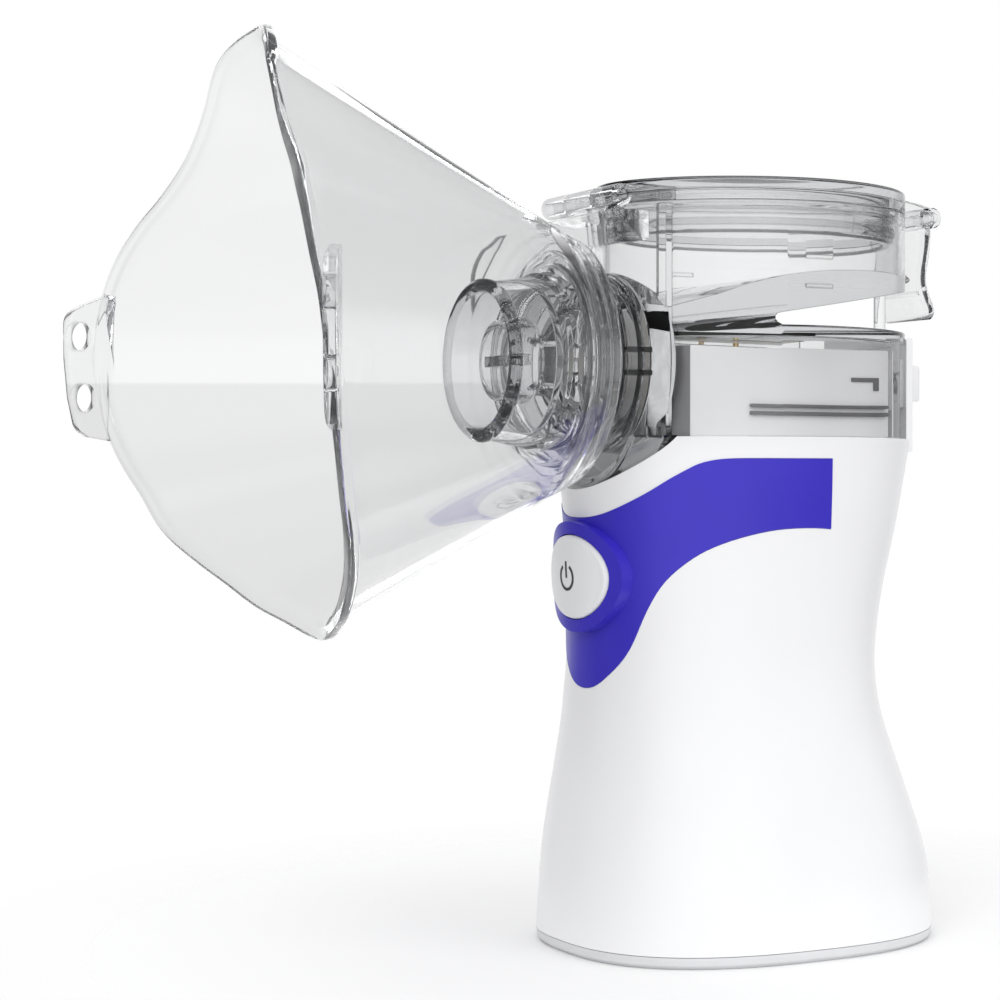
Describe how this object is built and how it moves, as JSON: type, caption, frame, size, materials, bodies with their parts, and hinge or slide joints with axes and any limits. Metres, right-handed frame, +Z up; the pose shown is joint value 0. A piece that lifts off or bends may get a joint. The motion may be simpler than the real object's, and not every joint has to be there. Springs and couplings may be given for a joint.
{
  "type": "handheld mesh nebulizer",
  "caption": "Handheld vibrating-mesh nebulizer: waisted white body with blue panel, clear hinged-lid medicine cup and clear face mask on a turning adapter.",
  "frame": {"origin": "centre of the base footprint, on the table", "axes": "+Z up, -Y the way the mist leaves, towards the mask, X along the lid hinge"},
  "size_m": [0.1078, 0.1277, 0.1367],
  "materials": {
    "white_shell": "satin moulded ABS",
    "blue_panel": "satin blue plastic",
    "base_grey": "fine matt plastic",
    "steel": "plain",
    "plated_contact": "nickel plated",
    "tray_black": "matt",
    "cell_jacket": "printed metal jacket, no text",
    "board_green": "solder mask",
    "chip_black": "matt",
    "capacitor_can": "plain can",
    "button_grey": "satin",
    "mark_grey": "print",
    "tower_grey": "satin",
    "gold_pin": "gold plated",
    "clear_plastic": "clear polished",
    "clear_mask": "clear soft PVC",
    "clear_silicone": "translucent",
    "clear_pin": "clear",
    "seal_rubber": "silicone",
    "piezo_ceramic": "ceramic with silvered faces",
    "mesh_steel": "perforated foil",
    "wire_red": "insulation"
  },
  "bodies": {
    "base_unit": {"main_housing": "white_shell", "accent_panel": "blue_panel", "base_plate": "base_grey", "door_hinge_pin": "steel", "base_screws": "steel", "battery_tray": "tray_black", "aa_cells": "cell_jacket", "positive_contact": "plated_contact", "negative_spring": "plated_contact", "control_board": "board_green", "board_screws": "steel", "drive_chip": "chip_black", "boost_inductor": "chip_black", "output_capacitors": "capacitor_can", "tact_switch": "chip_black", "usb_socket": "steel", "usb_board": "board_green", "connector_tower": "tower_grey", "contact_pins": "gold_pin", "tower_screws": "steel", "release_spring": "steel", "tower_wires": "wire_red"},
    "power_button": {"power_button_cap": "button_grey", "power_mark": "mark_grey", "switch_plunger": "chip_black"},
    "release_button": {"release_button_cap": "white_shell"},
    "cup": {"medicine_cup": "clear_plastic", "cup_electrodes": "plated_contact", "nozzle_housing": "clear_plastic", "rear_seal": "seal_rubber", "piezo_ring": "piezo_ceramic", "mesh_disc": "mesh_steel", "front_seal": "seal_rubber", "lid_hinge_pin": "clear_pin"},
    "lid": {"lid_shell": "clear_plastic", "lid_gasket": "clear_silicone", "latch_pin": "clear_pin"},
    "latch": {"lid_latch": "clear_plastic"},
    "adapter": {"mask_adapter": "clear_plastic", "spray_baffle": "clear_plastic"},
    "mask": {"face_mask": "clear_mask"},
    "door": {"battery_door": "base_grey", "door_contact": "plated_contact"}
  },
  "joints": [
    {"name": "power_button_press", "type": "slide", "parent": "base_unit", "child": "power_button", "axis": [0, 1, 0], "range_m": [0, 0.0005], "stiffness_N_per_m": 2000},
    {"name": "release_press", "type": "slide", "parent": "base_unit", "child": "release_button", "axis": [0, -1, 0], "range_m": [0, 0.0015], "stiffness_N_per_m": 600, "deforming": ["release_spring"]},
    {"name": "cup_slide", "type": "slide", "parent": "base_unit", "child": "cup", "axis": [0, -1, 0], "range_m": [0, 0.045]},
    {"name": "lid_hinge", "type": "hinge", "parent": "cup", "child": "lid", "pos_m": [0, -0.027, 0.1143], "axis": [1, 0, 0], "range_deg": [0, 105]},
    {"name": "latch_hinge", "type": "hinge", "parent": "lid", "child": "latch", "pos_m": [0, 0.033, 0.1142], "axis": [1, 0, 0], "range_deg": [0, 75]},
    {"name": "adapter_slide", "type": "slide", "parent": "cup", "child": "adapter", "axis": [0, -1, 0], "range_m": [0, 0.03]},
    {"name": "mask_turn", "type": "hinge", "parent": "adapter", "child": "mask", "pos_m": [0, -0.0342, 0.0898], "axis": [0, 1, 0], "continuous": true},
    {"name": "battery_door_hinge", "type": "hinge", "parent": "base_unit", "child": "door", "pos_m": [0, 0.0175, 0.0018], "axis": [1, 0, 0], "range_deg": [0, 90]}
  ]
}
